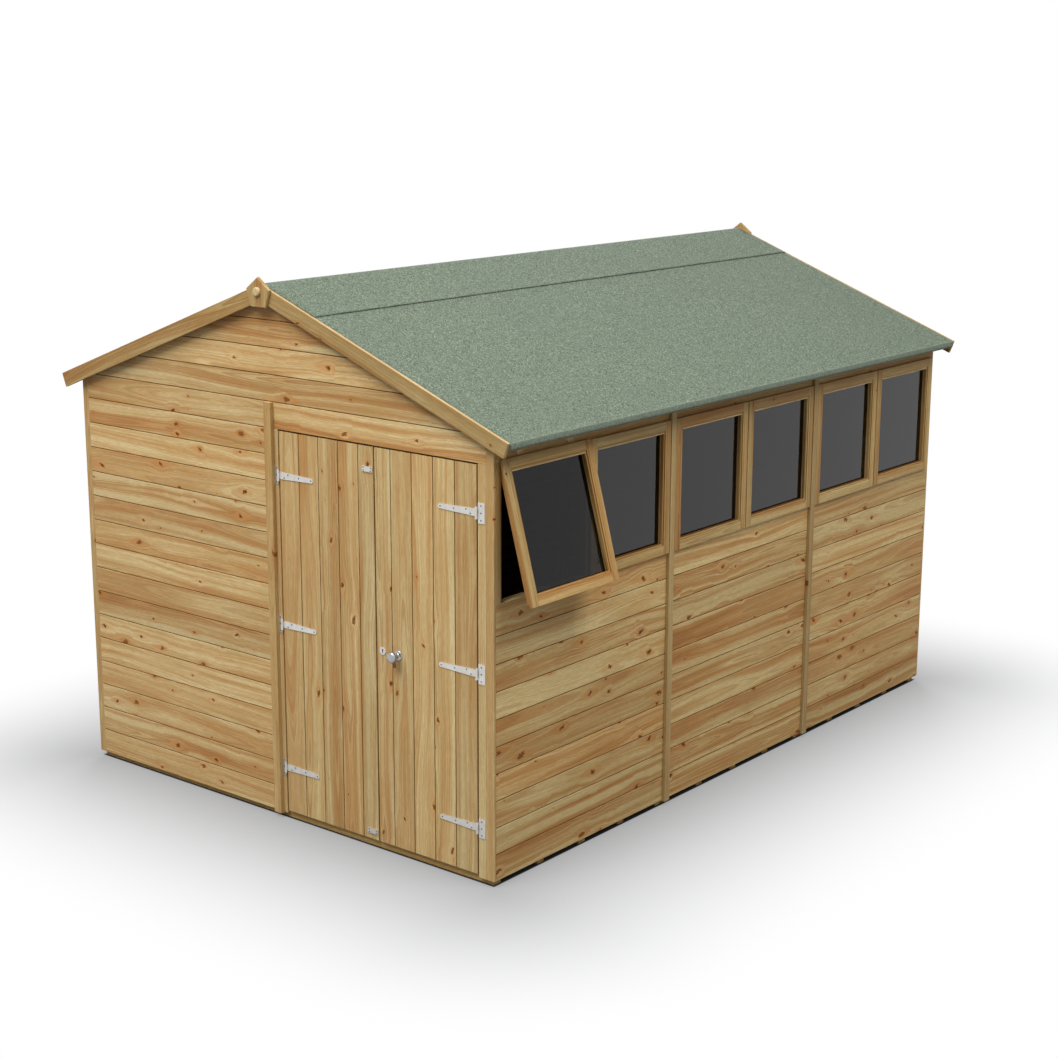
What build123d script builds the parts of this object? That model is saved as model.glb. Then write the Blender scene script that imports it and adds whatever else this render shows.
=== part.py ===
from build123d import *
import math
import os

os.makedirs("parts", exist_ok=True)

# The shed stands on the ground at Z 0. The doors are in the gable wall at -Y,
# the windows are in the side wall at +X, and the ridge runs along Y.

# Outside faces of the boarding
shed_width = 2440
shed_length = 3514
side_panels = 3
front_joint_x = 4

# Boards and framing timber
cladding = 12
board_cover = 113.3
stud_depth = 34
stud_width = 34
panel_joint = 2

# Floor
bearer_height = 36
bearer_width = 44
bearers_per_panel = 5
deck = 12
floor_inset = 18

# Heights, with the walls counted in courses of boards
cladding_bottom = 24
sill_courses = 10
door_courses = 15
wall_courses = 16

# Roof, which starts from the tops of the side walls
wall_top_rise = 10.4
roof_slope = 20.8
eaves_reach = 98
verge_reach = 20
roof_board = 12
felt = 3
felt_fold_height = 29
ridge_felt_half_width = 300
eaves_batten_width = 24
eaves_batten_height = 16
purlin_width = 34
purlin_depth = 58
seat = 0.3

# Bargeboards and finials
barge_thickness = 15
barge_depth = 65
barge_overhang = 2
barge_joint = 0.6
finial_thickness = 14
finial_rise = 29
finial_height = 123
finial_shoulder_drop = 50
finial_shoulder_half_width = 67.5
finial_foot_half_width = 43
finial_edge = 2
button_drop = 59
button_radius = 19
button_depth = 12

# Trims on the outside
cover_strip_bottom = 21
side_strip_width = 36
side_strip_thickness = 16
gable_strip_width = 42
gable_strip_thickness = 20
corner_strip_width = 38
right_trim_width = 80
door_facing_width = 41

# Doors
door_clearance = 6
door_bottom = 38
ledge_thickness = 18
ledge_width = 90
ledge_inset = 20
brace_width = 70
hinge_heights = (238, 882, 1530)

# Tee hinges
strap_length = 200
strap_root_width = 31
strap_tip_width = 20
strap_thickness = 3
left_plate_width = 18
right_plate_width = 34
hinge_plate_height = 82
hinge_plate_thickness = 2.5
knuckle_radius = 5.5
knuckle_clearance = 0.5
pin_radius = 2.5
pin_clearance = 0.1
strap_knuckle_height = 22
plate_knuckle_height = 13

# Door furniture
knob_inset = 118
knob_height = 873
knob_radius = 24
knob_reach = 52
knob_head_depth = 26
knob_neck_radius = 8
rose_radius = 22
rose_thickness = 6
keyhole_inset = 34
keyhole_height = 876
escutcheon_radius = 16
escutcheon_thickness = 3
bolt_plate_length = 55
bolt_plate_width = 22
bolt_plate_thickness = 4
bolt_plate_inset = 4
bolt_plate_heights = (73, 1624)

# Windows
sash_margin = 20.7
window_head_height = 107.2
sash_gap = 6
sash_lip = 12
lip_thickness = 14
plug_thickness = 22
sash_face_width = 40
bead_width = 8
bead_step = 4
glass = 3
glass_setback = 24
open_sash_angle = 15.3
sash_lift = 3
stay_width = 12
stay_thickness = 4

# Faces and levels worked out from the sizes above
face_x = shed_width / 2
face_y = shed_length / 2
skin_x = face_x - cladding
skin_y = face_y - cladding
frame_x = skin_x - stud_depth
frame_y = skin_y - stud_depth
panel_length = 2 * skin_y / side_panels
panel_centres = [(i - (side_panels - 1) / 2) * panel_length for i in range(side_panels)]
joint_positions = [(i - side_panels / 2) * panel_length for i in range(1, side_panels)]
floor_top = bearer_height + deck
sill_level = cladding_bottom + sill_courses * board_cover
door_level = cladding_bottom + door_courses * board_cover
gable_level = cladding_bottom + wall_courses * board_cover

slope = math.radians(roof_slope)
roof_layers = (felt + roof_board) / math.cos(slope)
wall_top = gable_level + wall_top_rise
ridge_height = wall_top + seat + roof_layers + math.tan(slope) * face_x


def roof_top(x):
    """Height of the felt's upper face."""
    return ridge_height - math.tan(slope) * abs(x)


def roof_under(x):
    """Height of the roof boards' lower face."""
    return roof_top(x) - roof_layers


def save(piece, label):
    piece.part.label = label
    export_step(piece.part, f"parts/{label}.step")


eaves_x = face_x + eaves_reach
barge_end_x = eaves_x + barge_overhang
verge_y = face_y + verge_reach
barge_y = verge_y + barge_thickness


# Floor: bearers across the shed, in one set for each floor panel
floor_half_x = face_x - floor_inset
floor_half_y = face_y - floor_inset
floor_panel = 2 * floor_half_y / side_panels
floor_centres = [(i - (side_panels - 1) / 2) * floor_panel for i in range(side_panels)]
bearer_spacing = (floor_panel - bearer_width - panel_joint) / (bearers_per_panel - 1)

with BuildPart() as floor_bearers:
    with BuildSketch():
        with Locations(*[(0, y) for y in floor_centres]):
            with GridLocations(1, bearer_spacing, 1, bearers_per_panel):
                Rectangle(2 * floor_half_x, bearer_width)
    extrude(amount=bearer_height)
save(floor_bearers, "floor_bearers")

with BuildPart() as floor_deck:
    with BuildSketch(Plane.XY.offset(bearer_height)):
        with Locations(*[(0, y) for y in floor_centres]):
            Rectangle(2 * floor_half_x, floor_panel - panel_joint)
    extrude(amount=deck)
save(floor_deck, "floor_deck")


# Side walls: boarding in panels, full height on the left and up to the sill on the right
panel_width = panel_length - panel_joint

with BuildPart() as left_wall_cladding:
    with BuildSketch(Plane.XY.offset(cladding_bottom)):
        with Locations(*[(-face_x + cladding / 2, y) for y in panel_centres]):
            Rectangle(cladding, panel_width)
    extrude(amount=wall_top - cladding_bottom)
save(left_wall_cladding, "left_wall_cladding")

with BuildPart() as right_wall_cladding:
    with BuildSketch(Plane.XY.offset(cladding_bottom)):
        with Locations(*[(face_x - cladding / 2, y) for y in panel_centres]):
            Rectangle(cladding, panel_width)
    extrude(amount=sill_level - cladding_bottom)
save(right_wall_cladding, "right_wall_cladding")

sash_width = (panel_width - sash_gap) / 2 - sash_margin
sash_bottom = sill_level + sash_lift
sash_top = wall_top - window_head_height
sash_height = sash_top - sash_bottom
opening_bottom = sash_bottom + sash_lip
opening_top = sash_top - sash_lip
top_plate_bottom = wall_top - stud_width
frame_centre_x = (frame_x + skin_x) / 2

with BuildPart() as window_head_boards:
    with BuildSketch(Plane.XY.offset(opening_top)):
        with Locations(*[(face_x - cladding / 2, y) for y in panel_centres]):
            Rectangle(cladding, panel_width)
    extrude(amount=wall_top - opening_top)
save(window_head_boards, "window_head_boards")

# Rails of the side wall frames: bottom plates, top plates, and the rails that
# carry the sills and heads of the windows
with BuildPart() as side_wall_rails:
    with BuildSketch(Plane.XY.offset(floor_top)):
        with Locations(*[(side * frame_centre_x, y) for side in (-1, 1) for y in panel_centres]):
            Rectangle(stud_depth, panel_width)
    extrude(amount=stud_width)
    with BuildSketch(Plane.XY.offset(top_plate_bottom)):
        with Locations(*[(side * frame_centre_x, y) for side in (-1, 1) for y in panel_centres]):
            Rectangle(stud_depth, panel_width)
    extrude(amount=stud_width)
    with BuildSketch(Plane.XY.offset(sill_level - stud_width)):
        with Locations(*[(frame_centre_x, y) for y in panel_centres]):
            Rectangle(stud_depth, panel_width)
    extrude(amount=stud_width)
    with BuildSketch(Plane.XY.offset(opening_top)):
        with Locations(*[(frame_centre_x, y) for y in panel_centres]):
            Rectangle(stud_depth, panel_width)
    extrude(amount=stud_width)
save(side_wall_rails, "side_wall_rails")

stud_bottom = floor_top + stud_width
stud_pitch = (panel_width - stud_width) / 2

with BuildPart() as side_wall_studs:
    with BuildSketch(Plane.XY.offset(stud_bottom)):
        with Locations(*[(-frame_centre_x, y) for y in panel_centres]):
            with GridLocations(1, stud_pitch, 1, 3):
                Rectangle(stud_depth, stud_width)
    extrude(amount=top_plate_bottom - stud_bottom)
    with BuildSketch(Plane.XY.offset(stud_bottom)):
        with Locations(*[(frame_centre_x, y) for y in panel_centres]):
            with GridLocations(1, stud_pitch, 1, 3):
                Rectangle(stud_depth, stud_width)
    extrude(amount=sill_level - stud_width - stud_bottom)
    with BuildSketch(Plane.XY.offset(opening_top + stud_width)):
        with Locations(*[(frame_centre_x, y) for y in panel_centres]):
            with GridLocations(1, stud_pitch, 1, 3):
                Rectangle(stud_depth, stud_width)
    extrude(amount=top_plate_bottom - opening_top - stud_width)
save(side_wall_studs, "side_wall_studs")


# Windows: sills and posts flush with the boarding
opening_width = sash_width - 2 * sash_lip
sash_pitch = sash_width + sash_gap
mullion_width = sash_pitch - opening_width
jamb_width = (panel_width - mullion_width - 2 * opening_width) / 2
jamb_pitch = panel_width - jamb_width
window_depth = face_x - frame_x
window_centre_x = (face_x + frame_x) / 2

with BuildPart() as window_sills:
    with BuildSketch(Plane.XY.offset(sill_level)):
        with Locations(*[(window_centre_x, y) for y in panel_centres]):
            Rectangle(window_depth, panel_width)
    extrude(amount=opening_bottom - sill_level)
save(window_sills, "window_sills")

with BuildPart() as window_posts:
    with BuildSketch(Plane.XY.offset(opening_bottom)):
        with Locations(*[(window_centre_x, y) for y in panel_centres]):
            Rectangle(window_depth, mullion_width)
            with GridLocations(1, jamb_pitch, 1, 2):
                Rectangle(window_depth, jamb_width)
    extrude(amount=opening_top - opening_bottom)
save(window_posts, "window_posts")

# A sash hangs from its top edge: the plane's X runs along the wall, its Y runs up
# the sash and its Z points out of the wall
sash_border = sash_face_width + bead_width
plug_clearance = 1


def sash_plane(y, angle):
    """Plane of the wall's face at the top of a sash, swung out by an angle."""
    swing = math.radians(angle)
    out = (math.cos(swing), 0, math.sin(swing))
    return Plane(origin=(face_x, y, sash_top), x_dir=(0, 1, 0), z_dir=out)


def add_sash_stiles(plane):
    """Two stiles: a lip over the frame, a moulded inner step and a plug in the opening."""
    side = sash_width / 2
    plug_height = sash_height - 2 * sash_lip - 2 * plug_clearance
    plug_width = sash_border - sash_lip - plug_clearance
    for hand in (-1, 1):
        with BuildSketch(plane.offset(lip_thickness - bead_step)) as profile:
            with Locations((hand * (side - sash_face_width / 2), -sash_height / 2)):
                Rectangle(sash_face_width, sash_height)
        extrude(profile.sketch, amount=bead_step)
        with BuildSketch(plane) as profile:
            with Locations((hand * (side - sash_border / 2), -sash_height / 2)):
                Rectangle(sash_border, sash_height)
        extrude(profile.sketch, amount=lip_thickness - bead_step)
        with BuildSketch(plane) as profile:
            with Locations((hand * (side - sash_border + plug_width / 2), -sash_height / 2)):
                Rectangle(plug_width, plug_height)
        extrude(profile.sketch, amount=-plug_thickness)


def add_sash_rails(plane):
    """Top and bottom rails of the same section, between the stiles."""
    rail_length = sash_width - 2 * sash_border
    face_length = sash_width - 2 * sash_face_width
    plug_width = sash_border - sash_lip - plug_clearance
    for edge, inward in ((0, -1), (-sash_height, 1)):
        with BuildSketch(plane.offset(lip_thickness - bead_step)) as profile:
            with Locations((0, edge + inward * sash_face_width / 2)):
                Rectangle(face_length, sash_face_width)
        extrude(profile.sketch, amount=bead_step)
        with BuildSketch(plane) as profile:
            with Locations((0, edge + inward * sash_border / 2)):
                Rectangle(rail_length, sash_border)
        extrude(profile.sketch, amount=lip_thickness - bead_step)
        with BuildSketch(plane) as profile:
            with Locations((0, edge + inward * (sash_border - plug_width / 2))):
                Rectangle(rail_length, plug_width)
        extrude(profile.sketch, amount=-plug_thickness)


def add_pane(plane):
    """A sheet of glass set back from the face of the sash."""
    with BuildSketch(plane.offset(lip_thickness - glass_setback)) as profile:
        with Locations((0, -sash_height / 2)):
            Rectangle(
                sash_width - 2 * sash_border - 2 * seat,
                sash_height - 2 * sash_border - 2 * seat,
            )
    extrude(profile.sketch, amount=-glass)


sash_centres = [y + side * sash_pitch / 2 for y in panel_centres for side in (-1, 1)]
open_sash = sash_plane(sash_centres[0], open_sash_angle)
closed_sashes = [sash_plane(y, 0) for y in sash_centres[1:]]

with BuildPart() as sash_stiles:
    for closed_sash in closed_sashes:
        add_sash_stiles(closed_sash)
save(sash_stiles, "sash_stiles")

with BuildPart() as sash_rails:
    for closed_sash in closed_sashes:
        add_sash_rails(closed_sash)
save(sash_rails, "sash_rails")

with BuildPart() as window_panes:
    for closed_sash in closed_sashes:
        add_pane(closed_sash)
save(window_panes, "window_panes")

with BuildPart() as open_sash_stiles:
    add_sash_stiles(open_sash)
save(open_sash_stiles, "open_sash_stiles")

with BuildPart() as open_sash_rails:
    add_sash_rails(open_sash)
save(open_sash_rails, "open_sash_rails")

with BuildPart() as open_sash_pane:
    add_pane(open_sash)
save(open_sash_pane, "open_sash_pane")

# The stay lies on the sill and reaches up to the back of the open sash's bottom rail
stay_y = sash_centres[0]
stay_reach = plug_thickness + stay_thickness / 2 + seat
rail_back = open_sash.from_local_coords((0, -sash_height + sash_border / 2, -stay_reach))
stay_inner_x = frame_x + stay_width
stay_inner_height = opening_bottom + stay_thickness / 2 + seat

with BuildPart() as window_stay:
    with BuildSketch(Plane.XZ.offset(-stay_y)):
        with BuildLine():
            Line((stay_inner_x, stay_inner_height), (rail_back.X, rail_back.Z))
            offset(amount=stay_thickness / 2)
        make_face()
    extrude(amount=stay_width / 2, both=True)
save(window_stay, "window_stay")


# Front and back walls
gable_inner_x = face_x - corner_strip_width
front_left_edge = front_joint_x - panel_joint / 2
front_right_edge = front_joint_x + panel_joint / 2

with BuildPart() as front_wall_cladding:
    with BuildSketch(Plane.XZ.offset(skin_y)):
        with Locations(((front_left_edge - gable_inner_x) / 2, (cladding_bottom + gable_level) / 2)):
            Rectangle(front_left_edge + gable_inner_x, gable_level - cladding_bottom)
        with Locations(((front_right_edge + gable_inner_x) / 2, (door_level + gable_level) / 2)):
            Rectangle(gable_inner_x - front_right_edge, gable_level - door_level)
    extrude(amount=cladding)
save(front_wall_cladding, "front_wall_cladding")

with BuildPart() as back_wall_cladding:
    with BuildSketch(Plane.XZ.offset(-face_y)):
        for hand in (-1, 1):
            half_panel = gable_inner_x - panel_joint / 2
            with Locations((hand * (gable_inner_x - half_panel / 2), (cladding_bottom + gable_level) / 2)):
                Rectangle(half_panel, gable_level - cladding_bottom)
    extrude(amount=cladding)
save(back_wall_cladding, "back_wall_cladding")


def gable_outline():
    """Boarding above the wall panels, up to the roof."""
    Polygon(
        (-gable_inner_x, gable_level),
        (-gable_inner_x, roof_under(gable_inner_x) - seat),
        (0, roof_under(0) - seat),
        (gable_inner_x, roof_under(gable_inner_x) - seat),
        (gable_inner_x, gable_level),
        align=None,
    )


with BuildPart() as front_gable_cladding:
    with BuildSketch(Plane.XZ.offset(skin_y)):
        gable_outline()
    extrude(amount=cladding)
save(front_gable_cladding, "front_gable_cladding")

with BuildPart() as back_gable_cladding:
    with BuildSketch(Plane.XZ.offset(-face_y)):
        gable_outline()
    extrude(amount=cladding)
save(back_gable_cladding, "back_gable_cladding")

# Frames of the end walls, between the side wall frames
door_left_x = front_joint_x + panel_joint / 2 + door_facing_width
door_right_x = face_x - right_trim_width
front_frame_y = -(skin_y + frame_y) / 2
back_frame_y = (skin_y + frame_y) / 2
end_rail_bottom = gable_level - stud_width
left_post_width = door_left_x - front_right_edge
right_post_width = frame_x - door_right_x
front_panel_studs = [
    -frame_x + stud_width / 2,
    (front_left_edge - frame_x) / 2,
    front_left_edge - stud_width / 2,
]
back_panel_studs = [
    hand * x for hand in (-1, 1)
    for x in (frame_x - stud_width / 2, frame_x / 2, (stud_width + panel_joint) / 2)
]

with BuildPart() as end_wall_rails:
    with BuildSketch(Plane.XY.offset(floor_top)):
        with Locations(((front_left_edge - frame_x) / 2, front_frame_y)):
            Rectangle(front_left_edge + frame_x, stud_depth)
        with Locations((0, back_frame_y)):
            Rectangle(2 * frame_x, stud_depth)
    extrude(amount=stud_width)
    with BuildSketch(Plane.XY.offset(end_rail_bottom)):
        with Locations((0, front_frame_y), (0, back_frame_y)):
            Rectangle(2 * frame_x, stud_depth)
    extrude(amount=stud_width)
    with BuildSketch(Plane.XY.offset(door_level)):
        with Locations(((door_left_x + door_right_x) / 2, front_frame_y)):
            Rectangle(door_right_x - door_left_x, stud_depth)
    extrude(amount=stud_width)
save(end_wall_rails, "end_wall_rails")

gable_post_top = roof_under(stud_width / 2) - purlin_depth - seat

with BuildPart() as end_wall_studs:
    with BuildSketch(Plane.XY.offset(stud_bottom)):
        with Locations(*[(x, front_frame_y) for x in front_panel_studs]):
            Rectangle(stud_width, stud_depth)
        with Locations(*[(x, back_frame_y) for x in back_panel_studs]):
            Rectangle(stud_width, stud_depth)
    extrude(amount=end_rail_bottom - stud_bottom)
    with BuildSketch(Plane.XY.offset(floor_top)):
        with Locations((door_left_x - left_post_width / 2, front_frame_y)):
            Rectangle(left_post_width, stud_depth)
        with Locations((door_right_x + right_post_width / 2, front_frame_y)):
            Rectangle(right_post_width, stud_depth)
    extrude(amount=end_rail_bottom - floor_top)
    with BuildSketch(Plane.XY.offset(gable_level)):
        with Locations((0, front_frame_y), (0, back_frame_y)):
            Rectangle(stud_width, stud_depth)
    extrude(amount=gable_post_top - gable_level)
save(end_wall_studs, "end_wall_studs")

# Rafters rest on the end walls and meet the ridge beam
rafter_drop = stud_width / math.cos(slope)
rafter_inner_x = purlin_width / 2 + seat
rafter_seat = gable_level + seat
rafter_heel_x = (roof_under(0) - rafter_drop - rafter_seat) / math.tan(slope)

with BuildPart() as gable_rafters:
    for start_y in (frame_y, -skin_y):
        with BuildSketch(Plane.XZ.offset(start_y)):
            for hand in (-1, 1):
                with BuildLine():
                    Polyline(
                        (hand * rafter_inner_x, roof_under(rafter_inner_x) - seat),
                        (hand * frame_x, roof_under(frame_x) - seat),
                        (hand * frame_x, rafter_seat),
                        (hand * rafter_heel_x, rafter_seat),
                        (hand * rafter_inner_x, roof_under(rafter_inner_x) - rafter_drop),
                        close=True,
                    )
                make_face()
        extrude(amount=stud_depth)
save(gable_rafters, "gable_rafters")


# Cover strips over the panel joints, and the trims at the corners and the doors
with BuildPart() as cover_strips:
    side_strip_top = roof_under(face_x + side_strip_thickness) - seat
    with BuildSketch(Plane.XY.offset(cover_strip_bottom)):
        strip_x = face_x + side_strip_thickness / 2
        with Locations(*[(side * strip_x, y) for side in (-1, 1) for y in joint_positions]):
            Rectangle(side_strip_thickness, side_strip_width)
    extrude(amount=side_strip_top - cover_strip_bottom)
    with BuildSketch(Plane.XY.offset(cover_strip_bottom)):
        strip_y = face_y + gable_strip_thickness / 2
        with Locations((front_joint_x, -strip_y), (0, strip_y)):
            Rectangle(gable_strip_width, gable_strip_thickness)
    extrude(amount=gable_level - cover_strip_bottom)
save(cover_strips, "cover_strips")


def corner_outline(hand):
    """Upright strip at a corner, cut to the slope of the roof."""
    inner = face_x - corner_strip_width
    Polygon(
        (hand * inner, cladding_bottom),
        (hand * inner, roof_under(inner) - seat),
        (hand * face_x, roof_under(face_x) - seat),
        (hand * face_x, cladding_bottom),
        align=None,
    )


with BuildPart() as corner_trims:
    with BuildSketch(Plane.XZ.offset(skin_y)):
        corner_outline(-1)
        corner_outline(1)
        with Locations(((door_right_x + gable_inner_x - seat) / 2, (cladding_bottom + door_level) / 2)):
            Rectangle(gable_inner_x - seat - door_right_x, door_level - cladding_bottom)
        with Locations((door_left_x - left_post_width / 2, (cladding_bottom + door_level) / 2)):
            Rectangle(left_post_width, door_level - cladding_bottom)
    extrude(amount=cladding)
    with BuildSketch(Plane.XZ.offset(-face_y)):
        corner_outline(-1)
        corner_outline(1)
    extrude(amount=cladding)
save(corner_trims, "corner_trims")


# Roof: two boarded slopes, carried by the walls, a ridge beam and two purlins
def roof_slope_outline(hand):
    board_end = eaves_x - felt
    Polygon(
        (0, roof_under(0)),
        (hand * board_end, roof_under(board_end)),
        (hand * board_end, roof_under(board_end) + roof_board / math.cos(slope)),
        (0, roof_under(0) + roof_board / math.cos(slope)),
        align=None,
    )


def felt_outline(hand):
    """Felt over the boards, folded down over the eaves."""
    board_end = eaves_x - felt
    fold_bottom = roof_top(eaves_x) - felt_fold_height
    Polygon(
        (0, roof_top(0)),
        (hand * eaves_x, roof_top(eaves_x)),
        (hand * eaves_x, fold_bottom),
        (hand * board_end, fold_bottom),
        (hand * board_end, roof_top(board_end) - felt / math.cos(slope)),
        (0, roof_top(0) - felt / math.cos(slope)),
        align=None,
    )


with BuildPart() as roof_boards_left:
    with BuildSketch(Plane.XZ):
        roof_slope_outline(-1)
    extrude(amount=verge_y, both=True)
save(roof_boards_left, "roof_boards_left")

with BuildPart() as roof_boards_right:
    with BuildSketch(Plane.XZ):
        roof_slope_outline(1)
    extrude(amount=verge_y, both=True)
save(roof_boards_right, "roof_boards_right")

with BuildPart() as roof_felt_left:
    with BuildSketch(Plane.XZ):
        felt_outline(-1)
    extrude(amount=verge_y, both=True)
save(roof_felt_left, "roof_felt_left")

with BuildPart() as roof_felt_right:
    with BuildSketch(Plane.XZ):
        felt_outline(1)
    extrude(amount=verge_y, both=True)
save(roof_felt_right, "roof_felt_right")

with BuildPart() as ridge_felt:
    with BuildSketch(Plane.XZ):
        with BuildLine():
            edge = ridge_felt_half_width
            Polyline(
                (-edge, roof_top(edge) + felt / math.cos(slope)),
                (0, roof_top(0) + felt / math.cos(slope)),
                (edge, roof_top(edge) + felt / math.cos(slope)),
                (edge, roof_top(edge)),
                (0, roof_top(0)),
                (-edge, roof_top(edge)),
                close=True,
            )
        make_face()
    extrude(amount=verge_y, both=True)
save(ridge_felt, "ridge_felt")

with BuildPart() as eaves_battens:
    outer = eaves_x - felt
    inner = outer - eaves_batten_width
    batten_bottom = roof_under(outer) - eaves_batten_height
    with BuildSketch(Plane.XZ):
        for hand in (-1, 1):
            with BuildLine():
                Polyline(
                    (hand * inner, batten_bottom),
                    (hand * inner, roof_under(inner)),
                    (hand * outer, roof_under(outer)),
                    (hand * outer, batten_bottom),
                    close=True,
                )
            make_face()
    extrude(amount=verge_y, both=True)
save(eaves_battens, "eaves_battens")

with BuildPart() as roof_purlins:
    with BuildSketch(Plane.XZ):
        for centre in (-frame_x / 2, frame_x / 2):
            inner = abs(centre) - purlin_width / 2
            outer = abs(centre) + purlin_width / 2
            hand = math.copysign(1, centre)
            with BuildLine():
                Polyline(
                    (hand * inner, roof_under(outer) - purlin_depth),
                    (hand * inner, roof_under(inner) - seat),
                    (hand * outer, roof_under(outer) - seat),
                    (hand * outer, roof_under(outer) - purlin_depth),
                    close=True,
                )
            make_face()
    extrude(amount=frame_y, both=True)
    with BuildSketch(Plane.XZ):
        with BuildLine():
            half = purlin_width / 2
            Polyline(
                (-half, roof_under(half) - purlin_depth),
                (-half, roof_under(half) - seat),
                (0, roof_under(0) - seat),
                (half, roof_under(half) - seat),
                (half, roof_under(half) - purlin_depth),
                close=True,
            )
        make_face()
    extrude(amount=skin_y, both=True)
save(roof_purlins, "roof_purlins")


# Bargeboards with square-cut ends, meeting on a plumb joint at the ridge
def barge_outline(hand):
    end_drop = barge_depth * math.cos(slope)
    end_run = barge_depth * math.sin(slope)
    Polygon(
        (hand * barge_joint / 2, roof_top(barge_joint / 2)),
        (hand * barge_end_x, roof_top(barge_end_x)),
        (hand * (barge_end_x - end_run), roof_top(barge_end_x) - end_drop),
        (hand * barge_joint / 2, roof_top(barge_joint / 2) - barge_depth / math.cos(slope)),
        align=None,
    )


with BuildPart() as bargeboards:
    for start_y in (verge_y, -barge_y):
        with BuildSketch(Plane.XZ.offset(start_y)):
            barge_outline(-1)
            barge_outline(1)
        extrude(amount=barge_thickness)
save(bargeboards, "bargeboards")

# Finials: five-sided plates with chamfered faces and a turned button
finial_top = ridge_height + finial_rise

with BuildPart() as finials:
    for end in (-1, 1):
        finial_plane = Plane(origin=(0, end * barge_y, 0), x_dir=(-end, 0, 0), z_dir=(0, end, 0))
        with BuildSketch(finial_plane):
            with BuildLine():
                Polyline(
                    (0, finial_top),
                    (finial_shoulder_half_width, finial_top - finial_shoulder_drop),
                    (finial_foot_half_width, finial_top - finial_height),
                    (-finial_foot_half_width, finial_top - finial_height),
                    (-finial_shoulder_half_width, finial_top - finial_shoulder_drop),
                    close=True,
                )
            make_face()
        extrude(amount=finial_thickness)
        front = finials.faces().sort_by(Axis.Y)[-1 if end > 0 else 0]
        chamfer(front.edges(), length=finial_edge)
        with BuildSketch(finial_plane.offset(finial_thickness)):
            with Locations((0, finial_top - button_drop)):
                Circle(button_radius)
        extrude(amount=button_depth)
        rim = finials.edges().filter_by(GeomType.CIRCLE).sort_by(Axis.Y)[-1 if end > 0 else 0]
        fillet(rim, radius=button_depth * 0.6)
save(finials, "finials")


# Doors: leaves that fill the doorway in the plane of the boarding
doorway = door_right_x - door_left_x
leaf_width = (doorway - 3 * door_clearance) / 2
leaf_top = door_level - door_clearance
leaf_height = leaf_top - door_bottom
left_leaf_x = door_left_x + door_clearance
right_leaf_x = door_right_x - door_clearance


def add_leaf_boards(edge_x, hand):
    """Boards of a leaf, from its hinge edge inward."""
    with BuildSketch(Plane.XZ.offset(skin_y)) as profile:
        with Locations((edge_x + hand * leaf_width / 2, (door_bottom + leaf_top) / 2)):
            Rectangle(leaf_width, leaf_height)
    extrude(profile.sketch, amount=cladding)


def add_ledges(edge_x, hand):
    """Three ledges behind the boards, at the height of the hinges."""
    with BuildSketch(Plane.XZ.offset(skin_y - ledge_thickness)) as profile:
        with Locations(*[(edge_x + hand * leaf_width / 2, z) for z in hinge_heights]):
            Rectangle(leaf_width - 2 * ledge_inset, ledge_width)
    extrude(profile.sketch, amount=ledge_thickness)


def add_braces(edge_x, hand):
    """Two braces that rise from the hinge side of one ledge to the next."""
    foot_x = edge_x + hand * ledge_inset
    head_x = edge_x + hand * (leaf_width - ledge_inset)
    with BuildSketch(Plane.XZ.offset(skin_y - ledge_thickness)) as profile:
        for lower, upper in zip(hinge_heights, hinge_heights[1:]):
            foot_z = lower + ledge_width / 2
            head_z = upper - ledge_width / 2
            with BuildLine():
                Polyline(
                    (foot_x, foot_z),
                    (foot_x + hand * brace_width, foot_z),
                    (head_x, head_z),
                    (head_x - hand * brace_width, head_z),
                    close=True,
                )
            make_face()
    extrude(profile.sketch, amount=ledge_thickness)


with BuildPart() as door_left_boards:
    add_leaf_boards(left_leaf_x, 1)
save(door_left_boards, "door_left_boards")

with BuildPart() as door_right_boards:
    add_leaf_boards(right_leaf_x, -1)
save(door_right_boards, "door_right_boards")

with BuildPart() as door_left_ledges:
    add_ledges(left_leaf_x, 1)
save(door_left_ledges, "door_left_ledges")

with BuildPart() as door_right_ledges:
    add_ledges(right_leaf_x, -1)
save(door_right_ledges, "door_right_ledges")

with BuildPart() as door_left_braces:
    add_braces(left_leaf_x, 1)
save(door_left_braces, "door_left_braces")

with BuildPart() as door_right_braces:
    add_braces(right_leaf_x, -1)
save(door_right_braces, "door_right_braces")


# Tee hinges: the pin stands in front of the gap between the leaf and its post
pin_y = -face_y - knuckle_radius - knuckle_clearance
left_pin_x = door_left_x + door_clearance / 2
right_pin_x = door_right_x - door_clearance / 2
strap_start = knuckle_radius + knuckle_clearance
knuckle_gap = knuckle_clearance


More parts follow.
